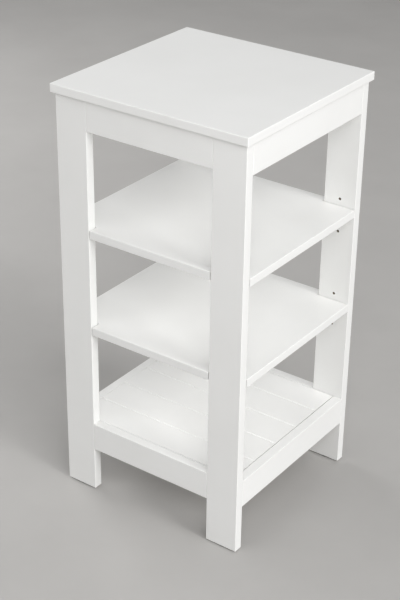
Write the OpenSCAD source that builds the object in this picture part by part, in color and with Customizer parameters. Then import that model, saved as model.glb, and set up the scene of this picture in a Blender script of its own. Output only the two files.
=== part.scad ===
// Open shelf unit on four flat board legs, with two loose shelves and a planked base panel.
// Front faces -Y, right side faces +X. Origin on the floor, under the middle of the unit.

/* [Overall] */
// Height from the floor to the top surface
height = 800; // [700:10:1000]
// Width across the legs, left to right
frame_w = 388; // [340:2:480]
// Depth across the legs, front to back
frame_d = 372; // [320:2:460]

/* [Boards] */
// Width of each leg board
leg_w = 65; // [62:1:75]
// Thickness of the legs, aprons and rails
board_t = 18; // [18:1:22]
// Thickness of the top board
top_t = 16; // [15:1:22]
// How far the top board passes the legs at left and right
top_over_x = 6; // [3:1:12]
// How far the top board passes the legs at front and back
top_over_y = 7; // [3:1:12]
// Height of the aprons under the top board
apron_h = 56; // [50:1:70]
// Height of the rails round the base panel
rail_h = 55; // [50:1:70]

/* [Shelves] */
// Underside of the lower shelf above the floor
lower_shelf_z = 338; // [320:1:350]
// Steps of the hole row between the two shelves
shelf_steps = 6; // [5:1:6]
// Thickness of each loose shelf
shelf_t = 16; // [15:1:18]
// Gap between a shelf's tongue and the edges of the legs
tongue_gap = 2; // [1:0.5:3]
// Gap between a shelf and the inner faces of the legs
face_gap = 1; // [0.5:0.5:2]

/* [Base panel] */
// Top surface of the base panel and its rails above the floor
base_z = 147; // [130:1:170]
// Thickness of the base panel
panel_t = 12; // [9:1:15]
// Distance between the grooves of the base panel
groove_pitch = 69; // [60:1:72]
// Width of a groove at the surface
groove_w = 3; // [2:0.5:4]
// Gap all round the base panel
panel_gap = 1; // [0.5:0.5:2]

/* [Hardware] */
// Distance between neighbouring shelf pin holes
hole_pitch = 32; // [32:1:32]
// Diameter of a shelf pin hole
hole_d = 5; // [5:0.5:6]
// Depth of a shelf pin hole
hole_depth = 11; // [9:1:12]
// Diameter of the wooden dowels
dowel_d = 8; // [6:1:8]

/* [Hidden] */
$fn = 48;
cut = 0.5;                                  // how far a cutting shape passes the surface

// Levels and planes
half_w = frame_w / 2;
half_d = frame_d / 2;
glide_t = 2.5;
top_z = height - top_t;                     // underside of the top board
apron_z = top_z - apron_h;                  // underside of the aprons
rail_z = base_z - rail_h;                   // underside of the rails
inner_x = half_w - board_t;                 // inner faces of the side aprons and rails
inner_y = half_d - board_t;                 // inner faces of the legs, front and back boards
leg_edge_x = half_w - leg_w;                // inner edges of the legs
upper_shelf_z = lower_shelf_z + shelf_steps * hole_pitch;

// Shelf pins: a plug in the leg, and a collar that carries the shelf
pin_x = half_w - leg_w / 2;
pin_collar_d = 7;
pin_collar_l = 9;
pin_plug_d = hole_d - 0.1;
pin_plug_l = hole_depth - 0.5;
pin_drop = pin_collar_d / 2;                // pin axis below the underside of its shelf

// Dowels
dowel_gap = 0.5;                            // glue space at each end of a dowel
edge_depth = 20;                            // depth of dowel holes in ends and edges
face_depth = 10;                            // depth of dowel holes in wide faces
dowel_spread = 15;                          // dowels above and below a board's middle line
top_dowel_spread = 7;                       // dowels either side of a leg's middle line

// Steel angles under the top board
bracket_w = 16;
bracket_leg = 22;
bracket_t = 1.5;
bracket_y = 95;                             // brackets in front of and behind the middle
screw_d = 3.5;
screw_head_d = 7;
screw_head_t = 1.8;
bracket_screw_l = 12;
bracket_screw_at = 13;                      // screw axis from the corner of the angle

// Battens under the base panel
batten_w = 16;
batten_h = 18;
batten_l = 300;
batten_screw_l = 28;
batten_screw_y = 110;                       // outer screws from the middle of the batten

// Glides under the legs
glide_d = 15;
glide_stem_d = 5;
glide_stem_l = 14;

function mid_z(bottom, h) = bottom + h / 2;
function leg_x(side) = side * (half_w - leg_w / 2);
function leg_y(end) = end * (half_d - board_t / 2);

// A box given by its lowest corner and highest corner
module block(low, high) {
    translate(low) cube(high - low);
}

// A rod along X, Y or Z that starts at a point and has a signed length
module rod(axis, from, length, d) {
    turn = axis == "x" ? [0, 90, 0] : axis == "y" ? [-90, 0, 0] : [0, 0, 0];
    translate(from) rotate(turn) translate([0, 0, min(0, length)]) cylinder(h = abs(length), d = d);
}

// ---- Places of the dowels. Each child is made at every place. ----

// Front and back boards: rods along X through the joints at the leg edges
module dowels_along_x(bottom, h, end, into_leg, into_board, d) {
    for (side = [-1, 1], up = [-1, 1])
        rod("x", [side * (leg_edge_x - into_board), leg_y(end), mid_z(bottom, h) + up * dowel_spread],
            side * (into_board + into_leg), d);
}

// Side boards: rods along Y through the joints at the inner faces of the legs
module dowels_along_y(bottom, h, side, into_leg, into_board, d) {
    for (end = [-1, 1], up = [-1, 1])
        rod("y", [side * (half_w - board_t / 2), end * (inner_y - into_board),
                  mid_z(bottom, h) + up * dowel_spread],
            end * (into_board + into_leg), d);
}

// Top board: rods along Z through the upper ends of the legs
module dowels_along_z(side, end, into_leg, into_top, d) {
    for (way = [-1, 1])
        rod("z", [leg_x(side) + way * top_dowel_spread, leg_y(end), top_z - into_leg],
            into_leg + into_top, d);
}

// ---- Boards ----

module top_board() {
    color("whitesmoke") difference() {
        block([-half_w - top_over_x, -half_d - top_over_y, top_z],
              [half_w + top_over_x, half_d + top_over_y, height]);
        for (side = [-1, 1], end = [-1, 1])
            dowels_along_z(side, end, cut, face_depth, dowel_d);
        bracket_holes_up();
    }
}

module leg(side, end) {
    x0 = side > 0 ? leg_edge_x : -half_w;
    y0 = end > 0 ? inner_y : -half_d;
    color("white") difference() {
        block([x0, y0, glide_t], [x0 + leg_w, y0 + board_t, top_z]);
        shelf_pin_holes(side, end);
        dowels_along_z(side, end, edge_depth, cut, dowel_d);
        for (z_h = [[apron_z, apron_h], [rail_z, rail_h]]) {
            dowels_along_x(z_h[0], z_h[1], end, edge_depth, cut, dowel_d);
            dowels_along_y(z_h[0], z_h[1], side, face_depth, cut, dowel_d);
        }
        rod("z", [leg_x(side), leg_y(end), glide_t - cut], glide_stem_l + 2 * cut, glide_stem_d);
    }
}

// One hole for the pin in use, one above it and one below it, for each shelf
module shelf_pin_holes(side, end) {
    for (shelf_z = [lower_shelf_z, upper_shelf_z], step = [-1, 0, 1])
        rod("y", [side * pin_x, end * (inner_y - cut), shelf_z - pin_drop + step * hole_pitch],
            end * (hole_depth + cut), hole_d);
}

// A front or back board between the legs
module cross_board(bottom, h, end) {
    y0 = end > 0 ? inner_y : -half_d;
    color("white") difference() {
        block([-leg_edge_x, y0, bottom], [leg_edge_x, y0 + board_t, bottom + h]);
        dowels_along_x(bottom, h, end, cut, edge_depth, dowel_d);
    }
}

// A side board between a front leg and a back leg
module side_board(bottom, h, side) {
    x0 = side > 0 ? inner_x : -half_w;
    difference() {
        block([x0, -inner_y, bottom], [x0 + board_t, inner_y, bottom + h]);
        dowels_along_y(bottom, h, side, cut, edge_depth, dowel_d);
    }
}

module side_apron(side) {
    color("white") difference() {
        side_board(apron_z, apron_h, side);
        bracket_holes_out(side);
    }
}

module side_rail(side) {
    color("white") difference() {
        side_board(rail_z, rail_h, side);
        batten_holes(side);
    }
}

// Base panel with V grooves from left to right that look like planks
module base_panel() {
    px = inner_x - panel_gap;
    py = inner_y - panel_gap;
    color("whitesmoke") difference() {
        block([-px, -py, base_z - panel_t], [px, py, base_z]);
        for (i = [-1.5 : 1 : 1.5])
            translate([0, i * groove_pitch, base_z]) rotate([45, 0, 0])
                cube([frame_w, groove_w / sqrt(2), groove_w / sqrt(2)], center = true);
    }
}

module batten(side) {
    batten_z = base_z - panel_t - batten_h;
    x0 = side > 0 ? inner_x - batten_w : -inner_x;
    color("burlywood") difference() {
        block([x0, -batten_l / 2, batten_z], [x0 + batten_w, batten_l / 2, batten_z + batten_h]);
        batten_holes(side);
    }
}

// ---- Loose shelves and their pins ----

// Board with notches round the legs: a wide middle, and a tongue at front and back
module shelf(bottom) {
    side_y = inner_y - face_gap;
    tongue_x = leg_edge_x - tongue_gap;
    color("whitesmoke") translate([0, 0, bottom]) linear_extrude(shelf_t) union() {
        square([frame_w, 2 * side_y], center = true);
        square([2 * tongue_x, frame_d], center = true);
    }
}

module shelf_pins(shelf_z) {
    color("silver") for (side = [-1, 1], end = [-1, 1]) {
        at = [side * pin_x, end * inner_y, shelf_z - pin_drop];
        rod("y", at, end * pin_plug_l, pin_plug_d);
        rod("y", at, -end * pin_collar_l, pin_collar_d);
    }
}

// ---- Joinery and hardware ----

module top_dowels() {
    color("tan") for (side = [-1, 1], end = [-1, 1])
        dowels_along_z(side, end, edge_depth - dowel_gap, face_depth - dowel_gap, dowel_d);
}

// Dowels of the four boards at one level
module ring_dowels(bottom, h) {
    color("tan") {
        for (end = [-1, 1])
            dowels_along_x(bottom, h, end, edge_depth - dowel_gap, edge_depth - dowel_gap, dowel_d);
        for (side = [-1, 1])
            dowels_along_y(bottom, h, side, face_depth - dowel_gap, edge_depth - dowel_gap, dowel_d);
    }
}

// Screw along an axis: the head lies on the surface at `at`, the shank goes in by `length`
module screw(axis, at, length) {
    way = sign(length);
    dir = axis == "x" ? [1, 0, 0] : [0, 0, 1];
    rod(axis, at, length, screw_d);
    rod(axis, at - way * dir * screw_head_t, way * screw_head_t, screw_head_d);
}

module bracket_holes_up() {
    for (side = [-1, 1], end = [-1, 1])
        rod("z", [side * (inner_x - bracket_screw_at), end * bracket_y, top_z - cut],
            bracket_screw_l - bracket_t + cut, screw_d);
}

module bracket_holes_out(side) {
    for (end = [-1, 1])
        rod("x", [side * (inner_x - cut), end * bracket_y, top_z - bracket_screw_at],
            side * (bracket_screw_l - bracket_t + cut), screw_d);
}

// Steel angles in the corner between the side aprons and the top board
module top_brackets() {
    color("silver") for (side = [-1, 1], end = [-1, 1])
        translate([side * inner_x, end * bracket_y, top_z]) mirror([side > 0 ? 1 : 0, 0, 0])
            difference() {
                union() {
                    block([0, -bracket_w / 2, -bracket_t], [bracket_leg, bracket_w / 2, 0]);
                    block([0, -bracket_w / 2, -bracket_leg], [bracket_t, bracket_w / 2, 0]);
                }
                rod("z", [bracket_screw_at, 0, cut], -bracket_t - 2 * cut, screw_d);
                rod("x", [-cut, 0, -bracket_screw_at], bracket_t + 2 * cut, screw_d);
            }
}

module bracket_screws() {
    color("silver") for (side = [-1, 1], end = [-1, 1]) {
        screw("z", [side * (inner_x - bracket_screw_at), end * bracket_y, top_z - bracket_t],
              bracket_screw_l);
        screw("x", [side * (inner_x - bracket_t), end * bracket_y, top_z - bracket_screw_at],
              side * bracket_screw_l);
    }
}

module at_batten_screws(side) {
    for (i = [-1, 0, 1])
        translate([side * (inner_x - batten_w), i * batten_screw_y,
                   base_z - panel_t - batten_h / 2])
            children();
}

module batten_holes(side) {
    at_batten_screws(side) rod("x", [-side * cut, 0, 0], side * (batten_screw_l + cut), screw_d);
}

module batten_screws() {
    color("silver") for (side = [-1, 1])
        at_batten_screws(side) screw("x", [0, 0, 0], side * batten_screw_l);
}

// Plastic glides with a stem in the end of each leg
module foot_glides() {
    color("gray") for (side = [-1, 1], end = [-1, 1]) translate([leg_x(side), leg_y(end), 0]) {
        cylinder(h = glide_t, d = glide_d);
        cylinder(h = glide_t + glide_stem_l, d = glide_stem_d);
    }
}

top_board();
leg(-1, -1);  // leg_front_left
leg(1, -1);  // leg_front_right
leg(-1, 1);  // leg_back_left
leg(1, 1);  // leg_back_right
cross_board(apron_z, apron_h, -1);  // apron_front
cross_board(apron_z, apron_h, 1);  // apron_back
side_apron(-1);  // apron_left
side_apron(1);  // apron_right
cross_board(rail_z, rail_h, -1);  // rail_front
cross_board(rail_z, rail_h, 1);  // rail_back
side_rail(-1);  // rail_left
side_rail(1);  // rail_right
base_panel();
batten(-1);  // batten_left
batten(1);  // batten_right
shelf(upper_shelf_z);  // shelf_upper
shelf(lower_shelf_z);  // shelf_lower
shelf_pins(upper_shelf_z);  // shelf_pins_upper
shelf_pins(lower_shelf_z);  // shelf_pins_lower
top_dowels();
ring_dowels(apron_z, apron_h);  // apron_dowels
ring_dowels(rail_z, rail_h);  // rail_dowels
top_brackets();
bracket_screws();
batten_screws();
foot_glides();
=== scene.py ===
"""The looks of an open shelf unit: lacquered boards, loose shelves, hardware, studio and camera.

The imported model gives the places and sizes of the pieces, in metres: +Z up, the front towards -Y.
"""
import math

import bmesh
import bpy
from mathutils import Matrix, Vector


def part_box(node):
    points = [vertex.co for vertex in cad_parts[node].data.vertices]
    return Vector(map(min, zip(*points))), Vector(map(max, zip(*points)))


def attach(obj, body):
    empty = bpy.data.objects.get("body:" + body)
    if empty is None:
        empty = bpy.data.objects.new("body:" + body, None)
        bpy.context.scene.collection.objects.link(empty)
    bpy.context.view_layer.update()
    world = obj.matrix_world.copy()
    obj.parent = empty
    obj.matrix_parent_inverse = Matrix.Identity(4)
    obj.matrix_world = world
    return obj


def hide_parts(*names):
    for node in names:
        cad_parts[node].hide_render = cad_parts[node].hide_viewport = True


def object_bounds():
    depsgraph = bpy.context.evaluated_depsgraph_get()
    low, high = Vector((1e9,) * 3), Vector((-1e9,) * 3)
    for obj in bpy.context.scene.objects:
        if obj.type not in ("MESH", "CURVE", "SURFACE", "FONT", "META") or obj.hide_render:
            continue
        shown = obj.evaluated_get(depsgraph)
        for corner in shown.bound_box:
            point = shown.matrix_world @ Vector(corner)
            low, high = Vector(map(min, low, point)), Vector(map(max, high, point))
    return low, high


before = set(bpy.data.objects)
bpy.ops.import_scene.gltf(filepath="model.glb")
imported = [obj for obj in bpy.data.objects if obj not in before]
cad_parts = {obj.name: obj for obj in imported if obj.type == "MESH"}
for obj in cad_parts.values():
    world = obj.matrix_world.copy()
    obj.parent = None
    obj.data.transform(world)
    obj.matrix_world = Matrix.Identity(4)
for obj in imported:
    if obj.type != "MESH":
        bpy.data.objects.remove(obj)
CAD_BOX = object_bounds()
MM = 0.001
BODY = "frame"

# ---------------------------------------------------------------- sizes of edges, gaps and holes

TOP_EDGE = 1.6 * MM          # radius of the top board's edges
LEG_EDGE = 1.1 * MM
BOARD_EDGE = 0.9 * MM        # aprons and rails
SHELF_EDGE = 1.3 * MM
PANEL_EDGE = 0.8 * MM
BATTEN_EDGE = 0.7 * MM
SHELF_GAP = 1.5 * MM         # between the ends of a shelf and the legs
TONGUE_GAP = 2.0 * MM        # between the sides of a shelf's tongue and the legs
END_GAP = 0.25 * MM          # what shows between the end of a board and the leg beside it

PANEL_SHIFT = 0.5 * MM       # the base panel lies this much off centre, to the left
GROOVE_W = 3.6 * MM          # grooves of the base panel
GROOVE_DEPTH = 1.6 * MM
GROOVE_PITCH = 69.0 * MM
GROOVE_AT = (1.5, 0.5, -0.5, -1.5)   # places of the grooves, in pitches from the middle
GROOVE_STEPS = 6             # points on each slope of a groove
GROOVE_CURVE = 1.5           # 1 makes a plain V, more rounds its shoulders

HOLE_D = 5.0 * MM            # shelf pin holes
HOLE_DEPTH = 10.9 * MM
HOLE_PITCH = 32.0 * MM
HOLE_CHAMFER = 0.35 * MM
HOLE_POINT = 0.8 * MM        # height of the drill point's cone
COLLAR_R = 3.5 * MM          # collar of a shelf pin
SCREW_HEAD_R = 3.5 * MM

# ---------------------------------------------------------------- materials


def new_material(name):
    """An empty node material with its shader. Returns the material, its tree and the shader."""
    mat = bpy.data.materials.new(name)
    mat.use_nodes = True
    tree = mat.node_tree
    tree.nodes.clear()
    out = tree.nodes.new("ShaderNodeOutputMaterial")
    shader = tree.nodes.new("ShaderNodeBsdfPrincipled")
    tree.links.new(shader.outputs["BSDF"], out.inputs["Surface"])
    return mat, tree, shader


def node(tree, kind, settings=None, **inputs):
    """A node with its settings, its values and its links. An input given as a socket is linked."""
    made = tree.nodes.new(kind)
    for key, value in (settings or {}).items():
        setattr(made, key, value)
    for key, value in inputs.items():
        socket = made.inputs[key.replace("_", " ")]
        if isinstance(value, bpy.types.NodeSocket):
            tree.links.new(value, socket)
        else:
            socket.default_value = value
    return made


def place(tree, scale=(1, 1, 1)):
    """Object coordinates in metres, stretched by scale."""
    coord = node(tree, "ShaderNodeTexCoord")
    return node(tree, "ShaderNodeMapping", Vector=coord.outputs["Object"], Scale=scale).outputs[0]


def noise(tree, where, scale, detail=2.0, roughness=0.5):
    made = node(tree, "ShaderNodeTexNoise", Vector=where, Scale=scale, Detail=detail,
                Roughness=roughness)
    return made.outputs["Fac"]


def ramp(tree, value, stops):
    """Colours along a value: stops is a list of (position, (r, g, b))."""
    made = node(tree, "ShaderNodeValToRGB", Fac=value)
    elements = made.color_ramp.elements
    while len(elements) < len(stops):
        elements.new(0.5)
    for element, (at, colour) in zip(elements, stops):
        element.position = at
        element.color = (*colour, 1.0)
    return made.outputs["Color"]


def remap(tree, value, low, high):
    """A value from 0 to 1 as one from low to high."""
    return node(tree, "ShaderNodeMapRange", Value=value, To_Min=low, To_Max=high).outputs[0]


def mix_colour(tree, factor, first, second, blend="MIX"):
    made = tree.nodes.new("ShaderNodeMix")
    made.data_type = "RGBA"
    made.blend_type = blend
    sockets = (made.inputs[0], made.inputs[6], made.inputs[7])
    for socket, value in zip(sockets, (factor, first, second)):
        if isinstance(value, bpy.types.NodeSocket):
            tree.links.new(value, socket)
        elif isinstance(value, tuple):
            socket.default_value = (*value, 1.0)
        else:
            socket.default_value = value
    return made.outputs[2]


def bump(tree, shader, height, distance, strength=1.0):
    made = node(tree, "ShaderNodeBump", Height=height, Distance=distance, Strength=strength)
    tree.links.new(made.outputs["Normal"], shader.inputs["Normal"])


def lacquer():
    """White satin lacquer on fibre board: faint orange peel, mottled gloss, and a painted highlight
    on the eased edges.
    """
    mat, tree, shader = new_material("satin_white_lacquer")
    where = place(tree)
    cloud = noise(tree, where, 7.0, 3.0)
    paint = ramp(tree, cloud, [(0.30, (0.852, 0.852, 0.838)), (0.70, (0.880, 0.880, 0.868))])
    # painted highlight: the eased edges get a lighter, warmer white, broken up by noise
    edge = node(tree, "ShaderNodeAttribute", {"attribute_name": "edge"}).outputs["Fac"]
    highlight_breakup = noise(tree, where, 90.0, 4.0, 0.65)
    edge_highlight = node(tree, "ShaderNodeMath", {"operation": "MULTIPLY"})
    tree.links.new(edge, edge_highlight.inputs[0])
    tree.links.new(remap(tree, highlight_breakup, 0.0, 0.5), edge_highlight.inputs[1])
    # mixes the painted edge highlight into the paint colour
    colour = mix_colour(tree, edge_highlight.outputs[0], paint, (0.90, 0.895, 0.875))
    tree.links.new(colour, shader.inputs["Base Color"])
    gloss = noise(tree, where, 60.0, 4.0, 0.6)
    tree.links.new(remap(tree, gloss, 0.42, 0.55), shader.inputs["Roughness"])
    shader.inputs["Specular IOR Level"].default_value = 0.45
    shader.inputs["Coat Weight"].default_value = 0.08
    shader.inputs["Coat Roughness"].default_value = 0.3
    peel = noise(tree, where, 420.0, 2.0)
    wave = noise(tree, where, 38.0, 1.0)
    relief = node(tree, "ShaderNodeMath", {"operation": "MULTIPLY_ADD"})
    tree.links.new(wave, relief.inputs[0])
    relief.inputs[1].default_value = 2.5
    tree.links.new(peel, relief.inputs[2])
    bump(tree, shader, relief.outputs[0], 0.03 * MM, 0.6)
    return mat


def wood(name, dark, light, along, fleck):
    """Raw wood with its grain along one axis. fleck is the scale of the fine marks."""
    mat, tree, shader = new_material(name)
    stretch = [26.0, 26.0, 26.0]
    stretch["xyz".index(along)] = 1.2
    where = place(tree, tuple(stretch))
    rings = node(tree, "ShaderNodeTexWave",
                 {"wave_type": "RINGS", "rings_direction": along.upper()},
                 Vector=where, Scale=1.6, Distortion=5.0, Detail=3.0,
                 Detail_Scale=1.5).outputs["Fac"]
    body = ramp(tree, rings, [(0.15, dark), (0.85, light)])
    fine = [900.0, 900.0, 900.0]
    fine["xyz".index(along)] = 900.0 / fleck
    marks = noise(tree, place(tree, tuple(fine)), 1.0, 3.0, 0.7)
    speck = mix_colour(tree, remap(tree, marks, 0.0, 0.45), body, dark, "MULTIPLY")
    tree.links.new(speck, shader.inputs["Base Color"])
    tree.links.new(remap(tree, marks, 0.5, 0.72), shader.inputs["Roughness"])
    shader.inputs["Specular IOR Level"].default_value = 0.3
    bump(tree, shader, marks, 0.05 * MM, 0.7)
    return mat


def zinc():
    """Zinc-plated steel: a soft spangle with fine rolling lines."""
    mat, tree, shader = new_material("zinc_plated_steel")
    where = place(tree)
    cells = node(tree, "ShaderNodeTexVoronoi", Vector=where, Scale=800.0,
                 Randomness=1.0).outputs["Color"]
    tone = ramp(tree, cells, [(0.2, (0.56, 0.57, 0.59)), (0.8, (0.65, 0.66, 0.67))])
    tree.links.new(tone, shader.inputs["Base Color"])
    shader.inputs["Metallic"].default_value = 1.0
    lines = noise(tree, place(tree, (300.0, 6000.0, 6000.0)), 1.0, 3.0, 0.6)
    tree.links.new(remap(tree, lines, 0.28, 0.5), shader.inputs["Roughness"])
    bump(tree, shader, lines, 0.01 * MM, 0.5)
    return mat


def fibreboard():
    """Raw brown fibre board, as a drill leaves it inside the pin holes."""
    mat, tree, shader = new_material("raw_fibreboard")
    where = place(tree)
    fibres = noise(tree, where, 1500.0, 4.0, 0.7)
    colour = ramp(tree, fibres, [(0.3, (0.17, 0.115, 0.070)), (0.7, (0.27, 0.190, 0.120))])
    tree.links.new(colour, shader.inputs["Base Color"])
    tree.links.new(remap(tree, fibres, 0.75, 0.95), shader.inputs["Roughness"])
    bump(tree, shader, fibres, 0.05 * MM, 0.8)
    return mat


def nylon():
    """Grey moulded plastic with a fine spark-eroded grain."""
    mat, tree, shader = new_material("moulded_grey_nylon")
    where = place(tree)
    tint = noise(tree, where, 160.0, 3.0)
    colour = ramp(tree, tint, [(0.3, (0.125, 0.125, 0.130)), (0.7, (0.160, 0.160, 0.165))])
    tree.links.new(colour, shader.inputs["Base Color"])
    grain = noise(tree, where, 2600.0, 3.0, 0.6)
    tree.links.new(remap(tree, grain, 0.48, 0.66), shader.inputs["Roughness"])
    bump(tree, shader, grain, 0.02 * MM, 0.8)
    return mat


def studio_floor():
    """Plain pale floor with a very faint mottle."""
    mat, tree, shader = new_material("studio_floor")
    cloud = noise(tree, place(tree), 3.0, 5.0, 0.6)
    colour = ramp(tree, cloud, [(0.3, (0.440, 0.430, 0.418)), (0.7, (0.475, 0.465, 0.452))])
    tree.links.new(colour, shader.inputs["Base Color"])
    shader.inputs["Roughness"].default_value = 0.62
    shader.inputs["Specular IOR Level"].default_value = 0.3
    return mat


LACQUER = lacquer()
PINE = wood("sawn_pine", (0.56, 0.37, 0.19), (0.74, 0.55, 0.33), "y", 40.0)
BEECH = wood("turned_beech", (0.52, 0.33, 0.19), (0.66, 0.46, 0.29), "x", 25.0)
ZINC = zinc()
NYLON = nylon()
FIBREBOARD = fibreboard()

# ---------------------------------------------------------------- mesh helpers


def new_object(name, mesh):
    made = bpy.data.objects.new(name, mesh)
    bpy.context.scene.collection.objects.link(made)
    return made


def mesh_from(bm, name):
    bmesh.ops.recalc_face_normals(bm, faces=bm.faces)
    mesh = bpy.data.meshes.new(name)
    bm.to_mesh(mesh)
    bm.free()
    return mesh


def extrude(outline, depth):
    """A solid from a closed outline of points, extruded by the vector depth."""
    bm = bmesh.new()
    face = bm.faces.new([bm.verts.new(p) for p in outline])
    top = bmesh.ops.extrude_face_region(bm, geom=[face])
    verts = [g for g in top["geom"] if isinstance(g, bmesh.types.BMVert)]
    bmesh.ops.translate(bm, verts=verts, vec=depth)
    bmesh.ops.recalc_face_normals(bm, faces=bm.faces)
    return bm


def box(low, high):
    outline = [(low[0], low[1], low[2]), (high[0], low[1], low[2]),
               (high[0], high[1], low[2]), (low[0], high[1], low[2])]
    return extrude(outline, (0, 0, high[2] - low[2]))


SHARP_ANGLE = math.radians(40)          # an edge that turns more than this can be eased


def ease(bm, radius, wanted=lambda edge: True, segments=3):
    """Rounds the sharp edges that are wanted."""
    sharp = [e for e in bm.edges
             if e.is_manifold and e.calc_face_angle() > SHARP_ANGLE and wanted(e)]
    bmesh.ops.bevel(bm, geom=sharp, offset=radius, offset_type="OFFSET", segments=segments,
                    profile=0.5, affect="EDGES", clamp_overlap=True)


FLAT_SIDE = 1.2              # in edge radii: a face with longer sides than this is flat
FLAT_CORNERS = 8             # a face with more corners than this is flat too


def mark_edges(mesh, radius):
    """Stores 1 on points that lie only on rounded edges and 0 on points of the flat faces.

    A flat face has no short side, or many corners, as the face round the pin holes has.
    """
    values = [1.0] * len(mesh.vertices)
    for poly in mesh.polygons:
        points = [mesh.vertices[i].co for i in poly.vertices]
        shortest = min((a - b).length for a, b in zip(points, points[1:] + points[:1]))
        if shortest > FLAT_SIDE * radius or len(points) > FLAT_CORNERS:
            for i in poly.vertices:
                values[i] = 0.0
    layer = mesh.attributes.new("edge", "FLOAT", "POINT")
    layer.data.foreach_set("value", values)


def cut(target, cutter_mesh):
    """Takes the cutter's solids away from the target's mesh."""
    cutter = new_object("cutter", cutter_mesh)
    modifier = target.modifiers.new("cut", "BOOLEAN")
    modifier.operation = "DIFFERENCE"
    modifier.solver = "EXACT"
    modifier.object = cutter
    graph = bpy.context.evaluated_depsgraph_get()
    done = bpy.data.meshes.new_from_object(target.evaluated_get(graph))
    target.modifiers.clear()
    old = target.data
    target.data = done
    bpy.data.meshes.remove(old)
    bpy.data.objects.remove(cutter)
    bpy.data.meshes.remove(cutter_mesh)


SAME_POINT = 1e-6            # profile points nearer than this are one point
ON_AXIS = 1e-7               # a radius below this is a point on the axis


def lathe(profile, segments=40):
    """A solid of revolution about Z. The profile of (radius, height) starts and ends on the axis."""
    bm = bmesh.new()
    rings = []
    profile = [p for p, q in zip(profile, [None] + profile)
               if q is None or math.dist(p, q) > SAME_POINT]
    for radius, height in profile:
        if radius < ON_AXIS:
            rings.append([bm.verts.new((0, 0, height))])
            continue
        turn = [2 * math.pi * i / segments for i in range(segments)]
        rings.append([bm.verts.new((radius * math.cos(t), radius * math.sin(t), height))
                      for t in turn])
    for low, high in zip(rings, rings[1:]):
        for i in range(segments):
            j = (i + 1) % segments
            quad = [low[i % len(low)], low[j % len(low)],
                    high[j % len(high)], high[i % len(high)]]
            bm.faces.new(list(dict.fromkeys(quad)))
    bmesh.ops.recalc_face_normals(bm, faces=bm.faces)
    return bm


def arc(centre, radius, start, end, steps=4):
    """Points on an arc in the profile plane, angles in degrees."""
    turn = [math.radians(start + (end - start) * i / steps) for i in range(steps + 1)]
    return [(centre[0] + radius * math.cos(t), centre[1] + radius * math.sin(t)) for t in turn]


CREASE_ANGLE = math.radians(36)


def finish_piece(made, material, slot, body, *nodes):
    """Smooth shading with crisp corners, the material, and the piece's place in the model."""
    made.name = f"{nodes[0]}_finished"
    mesh = made.data
    mesh.materials.clear()
    mesh.materials.append(material)
    mesh.polygons.foreach_set("use_smooth", [True] * len(mesh.polygons))
    mesh.set_sharp_from_angle(angle=CREASE_ANGLE)
    normals = made.modifiers.new("normals", "WEIGHTED_NORMAL")
    normals.keep_sharp = True
    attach(made, body)
    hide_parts(*nodes)
    return made


def joined(name, parts):
    """One mesh from several meshes, each at its matrix."""
    bm = bmesh.new()
    for mesh, matrix in parts:
        start = len(bm.verts)
        bm.from_mesh(mesh)
        bm.verts.ensure_lookup_table()
        bmesh.ops.transform(bm, matrix=matrix, verts=bm.verts[start:])
    return mesh_from(bm, name)


# ---------------------------------------------------------------- places


def corners(name):
    low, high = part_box(name)
    return Vector(low), Vector(high)


SIDES = {"left": -1, "right": 1}
ENDS = {"front": -1, "back": 1}
PIN_NODES = ("shelf_pins_lower", "shelf_pins_upper")
INNER_Y = corners("rail_left")[1].y              # inner faces of the legs
PIN_X = corners(PIN_NODES[0])[1].x - COLLAR_R


def pin_height(name):
    low, high = corners(name)
    return (low.z + high.z) / 2


# ---------------------------------------------------------------- boards


def board(name, low, high, radius, material=LACQUER, slot="white_lacquer"):
    bm = box(low, high)
    ease(bm, radius)
    mesh = mesh_from(bm, name)
    mark_edges(mesh, radius)
    return finish_piece(new_object(name, mesh), material, slot, BODY, name)


def top_board():
    board("top_board", *corners("top_board"), TOP_EDGE)


def hole_places(side, end):
    """The mouths of the pin holes of one leg."""
    return [Vector((side * PIN_X, end * INNER_Y, pin_height(name) + step * HOLE_PITCH))
            for name in PIN_NODES for step in (-1, 0, 1)]


def hole_cutter(side, end):
    """Cutters for the pin holes of one leg, with a small chamfer at each mouth."""
    r = HOLE_D / 2
    over = 1.0 * MM
    profile = [(0, -over), (r + HOLE_CHAMFER + over, -over), (r, HOLE_CHAMFER),
               (r, HOLE_DEPTH - HOLE_POINT), (0, HOLE_DEPTH)]
    bit = mesh_from(lathe(profile, 28), "bit")
    turn = Matrix.Rotation(math.radians(-90 * end), 4, "X")
    cutters = joined("hole_cutters",
                     [(bit, Matrix.Translation(at) @ turn) for at in hole_places(side, end)])
    bpy.data.meshes.remove(bit)
    return cutters


def leg(end, side):
    """A leg with its pin holes. The inside of the holes is raw board."""
    name = f"leg_{end}_{side}"
    bm = box(*corners(name))
    ease(bm, LEG_EDGE)
    made = new_object(name, mesh_from(bm, name))
    cut(made, hole_cutter(SIDES[side], ENDS[end]))
    mark_edges(made.data, LEG_EDGE)
    finish_piece(made, LACQUER, "white_lacquer", BODY, name)
    made.data.materials.append(FIBREBOARD)
    mouths = hole_places(SIDES[side], ENDS[end])
    for poly in made.data.polygons:
        depth = (poly.center.y - mouths[0].y) * ENDS[end]
        off = min(math.hypot(poly.center.x - at.x, poly.center.z - at.z) for at in mouths)
        if depth > HOLE_CHAMFER and off < HOLE_D / 2:
            poly.material_index = 1


def between_legs(name, along):
    """An apron or a rail, a hair shorter than its place so that its joints show."""
    low, high = corners(name)
    low[along] += END_GAP
    high[along] -= END_GAP
    board(name, low, high, BOARD_EDGE)


def plus_outline(low, high, tongue_x, side_y):
    """The outline of a shelf: notched at each corner round a leg."""
    quarter = [(high.x, side_y), (tongue_x, side_y), (tongue_x, high.y)]
    points = quarter + [(-x, y) for x, y in reversed(quarter)]
    points += [(-x, -y) for x, y in quarter] + [(x, -y) for x, y in reversed(quarter)]
    return [(x, y, low.z) for x, y in points]


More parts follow.
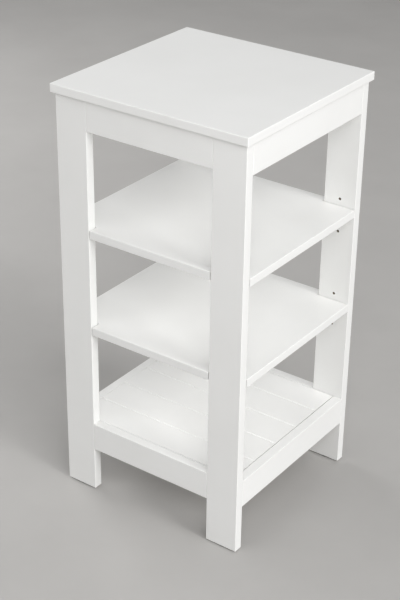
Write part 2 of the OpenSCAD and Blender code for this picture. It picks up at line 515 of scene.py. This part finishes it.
def shelf(name, body):
    """A loose shelf. Only its horizontal edges are eased; the notches keep sharp corners."""
    low, high = corners(name)
    tongue_x = corners("rail_front")[1].x - TONGUE_GAP
    side_y = INNER_Y - SHELF_GAP
    bm = extrude(plus_outline(low, high, tongue_x, side_y), (0, 0, high.z - low.z))
    ease(bm, SHELF_EDGE, lambda edge: abs(edge.verts[0].co.z - edge.verts[1].co.z) < MM)
    mesh = mesh_from(bm, name)
    mark_edges(mesh, SHELF_EDGE)
    finish_piece(new_object(name, mesh), LACQUER, "white_lacquer", body, name)


def base_panel():
    """Panel with V grooves from left to right, with shoulders rounded as paint leaves them."""
    low, high = corners("base_panel")
    low.x -= PANEL_SHIFT
    high.x -= PANEL_SHIFT
    r = PANEL_EDGE
    outline = arc((low.y + r, low.z + r), r, 180, 270) + arc((high.y - r, low.z + r), r, 270, 360)
    outline += arc((high.y - r, high.z - r), r, 0, 90)
    for i in GROOVE_AT:
        for k in range(-GROOVE_STEPS, GROOVE_STEPS + 1):
            t = k / GROOVE_STEPS
            drop = GROOVE_DEPTH * (1 - abs(t)) ** GROOVE_CURVE
            outline.append((i * GROOVE_PITCH - t * GROOVE_W / 2, high.z - drop))
    outline += arc((low.y + r, high.z - r), r, 90, 180)
    bm = extrude([(low.x, y, z) for y, z in outline], (high.x - low.x, 0, 0))
    mesh = mesh_from(bm, "base_panel")
    mesh.attributes.new("edge", "FLOAT", "POINT")
    made = new_object("base_panel", mesh)
    finish_piece(made, LACQUER, "white_lacquer", BODY, "base_panel")


def batten(side):
    name = f"batten_{side}"
    board(name, *corners(name), BATTEN_EDGE, PINE, "raw_pine")


# ---------------------------------------------------------------- hardware


def pin_mesh():
    """A steel shelf pin along +Z: the plug goes down into the leg, the collar stands out of it."""
    plug_r, plug_l = 2.45 * MM, 10.5 * MM
    collar_l = 9.0 * MM
    soft = 0.8 * MM             # radius of the rounded ends
    chamfer = 0.3 * MM          # where the collar meets the leg
    profile = [(0, -plug_l), (plug_r - soft, -plug_l)]
    profile += arc((plug_r - soft, -plug_l + soft), soft, 270, 360)
    profile += [(plug_r, -0.02 * MM), (COLLAR_R - chamfer, 0), (COLLAR_R, chamfer)]
    profile += arc((COLLAR_R - soft, collar_l - soft), soft, 0, 90)
    profile += [(0, collar_l)]
    return mesh_from(lathe(profile, 32), "pin")


def shelf_pins(name):
    pin = pin_mesh()
    z = pin_height(name)
    parts = []
    for side in (-1, 1):
        for end in (-1, 1):
            turn = Matrix.Rotation(math.radians(90 * end), 4, "X")
            parts.append((pin, Matrix.Translation((side * PIN_X, end * INNER_Y, z)) @ turn))
    finish_piece(new_object(name, joined(name, parts)), ZINC, "zinc_steel", BODY, name)


def screw_mesh(length):
    """A pan-head screw with a cross recess: the head stands on z = 0, the shank goes down."""
    head_r, head_h = SCREW_HEAD_R, 1.8 * MM
    rim_h = 0.45 * MM           # height of the head's straight rim, below its dome
    shank_r = 1.74 * MM
    point_l = 4.0 * MM
    profile = [(0, -length), (0.3 * MM, -length + 0.4 * MM), (shank_r, -length + point_l),
               (shank_r, -0.01 * MM), (head_r - 0.1 * MM, 0), (head_r, 0.12 * MM), (head_r, rim_h)]
    profile += [(head_r * math.cos(t), rim_h + (head_h - rim_h) * math.sin(t))
                for t in (0.25, 0.5, 0.8, 1.1, 1.35)]
    profile += [(0, head_h)]
    made = new_object("screw", mesh_from(lathe(profile, 32), "screw"))
    arm, width, deep = 1.9 * MM, 0.62 * MM, 1.2 * MM
    for size in ((arm, width), (width, arm)):
        low = (-size[0], -size[1], head_h - deep)
        high = (size[0], size[1], head_h + 1 * MM)
        cut(made, mesh_from(box(low, high), "cross"))
    mesh = made.data
    bpy.data.objects.remove(made)
    return mesh


def place_along(at, direction, spin=0.0):
    """A matrix that takes +Z to direction, at a place, after a spin about +Z."""
    turn = Vector(direction).to_track_quat("Z", "Y").to_matrix().to_4x4()
    return Matrix.Translation(at) @ turn @ Matrix.Rotation(spin, 4, "Z")


BRACKET_W, BRACKET_LEG, BRACKET_T = 16.0 * MM, 22.0 * MM, 1.5 * MM
BRACKET_SCREW_AT = 13.0 * MM            # from the corner of the angle
BRACKET_ROUND = 3.5 * MM                # corners at the ends of its legs
BRACKET_HOLE_R = 2.1 * MM
BRACKET_SCREW_L = 12.0 * MM
BATTEN_SCREW_L = 28.0 * MM


def bracket_places():
    """The corner of each angle, with its side."""
    low, high = corners("top_brackets")
    y = high.y - BRACKET_W / 2
    return [(Vector((side * high.x, end * y, high.z)), side)
            for side in (-1, 1) for end in (-1, 1)]


def bracket_mesh():
    """A bent steel angle: corner at the origin, legs along -X and -Z, round ends, two holes."""
    t, leg_l, half = BRACKET_T, BRACKET_LEG, BRACKET_W / 2
    inner_bend = ((2 * t, 0), (0.6 * t, 0.12 * t), (0.12 * t, 0.6 * t), (0, 2 * t))
    bend = [(-t - b, -t - c) for b, c in inner_bend]
    outline = [(0, -leg_l), (-t, -leg_l)] + bend[::-1] + [(-leg_l, -t), (-leg_l, 0)]
    outline += [(-0.8 * t, 0), (-0.25 * t, -0.25 * t), (0, -0.8 * t)]
    bm = extrude([(x, -half, z) for x, z in outline], (0, 2 * half, 0))
    ends = [e for e in bm.edges
            if min(max(abs(v.co.x), abs(v.co.z)) for v in e.verts) > leg_l * 0.99
            and abs(e.verts[0].co.y - e.verts[1].co.y) < SAME_POINT]
    bmesh.ops.bevel(bm, geom=ends, offset=BRACKET_ROUND, segments=6, profile=0.5, affect="EDGES")
    made = new_object("bracket", mesh_from(bm, "bracket"))
    r = BRACKET_HOLE_R
    for at, way in (((-BRACKET_SCREW_AT, 0, -t / 2), (0, 0, 1)),
                    ((-t / 2, 0, -BRACKET_SCREW_AT), (1, 0, 0))):
        hole = lathe([(0, -2 * t), (r, -2 * t), (r, 2 * t), (0, 2 * t)], 28)
        bmesh.ops.transform(hole, matrix=place_along(at, way), verts=hole.verts)
        cut(made, mesh_from(hole, "hole"))
    mesh = made.data
    bpy.data.objects.remove(made)
    return mesh


def top_brackets():
    angle = bracket_mesh()
    flip = Matrix.Diagonal((-1, 1, 1, 1))
    parts = [(angle, Matrix.Translation(at) @ (Matrix.Identity(4) if side > 0 else flip))
             for at, side in bracket_places()]
    made = new_object("top_brackets", joined("top_brackets", parts))
    finish_piece(made, ZINC, "zinc_steel", BODY, "top_brackets")


def bracket_screws():
    screw = screw_mesh(BRACKET_SCREW_L)
    parts = []
    for i, (at, side) in enumerate(bracket_places()):
        up = at + Vector((-side * BRACKET_SCREW_AT, 0, -BRACKET_T))
        out = at + Vector((-side * BRACKET_T, 0, -BRACKET_SCREW_AT))
        parts.append((screw, place_along(up, (0, 0, -1), 0.5 + i)))
        parts.append((screw, place_along(out, (-side, 0, 0), 0.9 + 1.7 * i)))
    made = new_object("bracket_screws", joined("bracket_screws", parts))
    finish_piece(made, ZINC, "zinc_steel", BODY, "bracket_screws")


def batten_screws():
    low, high = corners("batten_screws")
    screw = screw_mesh(BATTEN_SCREW_L)
    z = (low.z + high.z) / 2
    parts = []
    for side, name in ((-1, "batten_left"), (1, "batten_right")):
        x = corners(name)[0].x if side > 0 else corners(name)[1].x
        for i in (-1, 0, 1):
            at = (x, i * (high.y - SCREW_HEAD_R), z)
            parts.append((screw, place_along(at, (-side, 0, 0), 0.4 + 1.3 * i + side)))
    made = new_object("batten_screws", joined("batten_screws", parts))
    finish_piece(made, ZINC, "zinc_steel", BODY, "batten_screws")


def foot_glides():
    """Plastic discs with a stem up into each leg and a shallow dish underneath."""
    low, high = corners("foot_glides")
    r, thick, soft = 7.5 * MM, 2.5 * MM, 0.9 * MM
    dish_r, dish_deep = 2.2 * MM, 0.5 * MM
    stem_r, stem_chamfer = 2.49 * MM, 0.6 * MM
    profile = [(0, dish_deep), (dish_r, dish_deep), (2.8 * MM, 0), (r - soft, 0)]
    profile += arc((r - soft, soft), soft, 270, 360) + [(r, thick - 0.01 * MM), (stem_r, thick)]
    profile += [(stem_r, high.z - stem_chamfer), (stem_r - stem_chamfer, high.z), (0, high.z)]
    glide = mesh_from(lathe(profile, 40), "glide")
    parts = [(glide, Matrix.Translation((side * (high.x - r), end * (high.y - r), 0)))
             for side in (-1, 1) for end in (-1, 1)]
    made = new_object("foot_glides", joined("foot_glides", parts))
    finish_piece(made, NYLON, "grey_nylon", BODY, "foot_glides")


# ---------------------------------------------------------------- studio and camera


LIGHT_AIM = Vector((0, 0, 0.42))
KEY_FROM = (84, 28)                     # azimuth from the front, elevation
KEY_STRENGTH = 1.49
KEY_ANGLE = math.radians(21)            # how wide the key looks: it sets how soft the shadows are
LIGHT_DISTANCE = 3.0
SOFT_BOX_SIZE = 1.9
SOFT_BOXES = (                          # name, azimuth, elevation, watts
    ("front_right", 45, 32, 47.0),
    ("front_left", -30, 30, 9.0),
    ("left", -95, 20, 42.0),
    ("back", 165, 35, 8.0),
)
FLOOR_RADIUS = 40.0
FLOOR_Z = -0.15 * MM                    # a hair below the glides
WORLD_COLOUR = (1.0, 1.0, 1.0)
WORLD_STRENGTH = 0.28

CAMERA_SENSOR = 36.0                    # millimetres, the longer side of the picture
CAMERA_LENS = 85.7                      # millimetres
CAMERA_FROM = (34.96, 27.87)            # azimuth from the front, elevation
CAMERA_DISTANCE = 2.6
CAMERA_AIM = (35.44, -28.42, 0.82)      # yaw, pitch and roll of the optical axis


def around(azimuth, elevation):
    """The direction from the object: azimuth 0 is in front, 90 is to its right."""
    a, e = math.radians(azimuth), math.radians(elevation)
    return Vector((math.sin(a) * math.cos(e), -math.cos(a) * math.cos(e), math.sin(e)))


def light(name, kind, azimuth, elevation):
    """A light that shines on the middle of the object and isn't seen by the camera."""
    lamp = bpy.data.lights.new(name, kind)
    made = new_object(name, lamp)
    made.location = LIGHT_AIM + around(azimuth, elevation) * LIGHT_DISTANCE
    made.rotation_euler = (LIGHT_AIM - made.location).to_track_quat("-Z", "Y").to_euler()
    made.visible_camera = False
    return lamp


def studio():
    bm = bmesh.new()
    bmesh.ops.create_circle(bm, cap_ends=True, radius=FLOOR_RADIUS, segments=96)
    floor = new_object("studio_floor", mesh_from(bm, "studio_floor"))
    floor.location.z = FLOOR_Z
    floor.data.materials.append(studio_floor())
    key = light("key", "SUN", *KEY_FROM)
    key.energy = KEY_STRENGTH
    key.angle = KEY_ANGLE
    for name, azimuth, elevation, watts in SOFT_BOXES:
        soft_box = light(name, "AREA", azimuth, elevation)
        soft_box.size = SOFT_BOX_SIZE
        soft_box.energy = watts
    world = bpy.data.worlds.new("studio")
    world.use_nodes = True
    back = world.node_tree.nodes["Background"]
    back.inputs["Color"].default_value = (*WORLD_COLOUR, 1.0)
    back.inputs["Strength"].default_value = WORLD_STRENGTH
    bpy.context.scene.world = world


def camera():
    """A camera in front and to the right, looking down on the top board."""
    low, high = CAD_BOX
    lens = bpy.data.cameras.new("camera")
    lens.sensor_width = CAMERA_SENSOR
    lens.lens = CAMERA_LENS
    made = new_object("camera", lens)
    made.location = (Vector(low) + Vector(high)) / 2 + around(*CAMERA_FROM) * CAMERA_DISTANCE
    yaw, pitch, roll = (math.radians(angle) for angle in CAMERA_AIM)
    made.rotation_euler = (Matrix.Rotation(yaw, 3, "Z")
                           @ Matrix.Rotation(math.pi / 2 + pitch, 3, "X")
                           @ Matrix.Rotation(roll, 3, "Z")).to_euler()
    bpy.context.scene.camera = made


# ---------------------------------------------------------------- the unit

top_board()
for end_name in ENDS:
    for side_name in SIDES:
        leg(end_name, side_name)
for part in ("apron", "rail"):
    for end_name in ENDS:
        between_legs(f"{part}_{end_name}", 0)
    for side_name in SIDES:
        between_legs(f"{part}_{side_name}", 1)
base_panel()
for side_name in SIDES:
    batten(side_name)
shelf("shelf_upper", "upper_shelf")
shelf("shelf_lower", "lower_shelf")
for pins in PIN_NODES:
    shelf_pins(pins)
top_brackets()
bracket_screws()
batten_screws()
foot_glides()

for dowels in ("top_dowels", "apron_dowels", "rail_dowels"):
    dowel_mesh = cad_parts[dowels].data
    dowel_mesh.materials.clear()
    dowel_mesh.materials.append(BEECH)

studio()
camera()

scene = bpy.context.scene
scene.view_settings.view_transform = "Standard"
scene.cycles.use_denoising = True
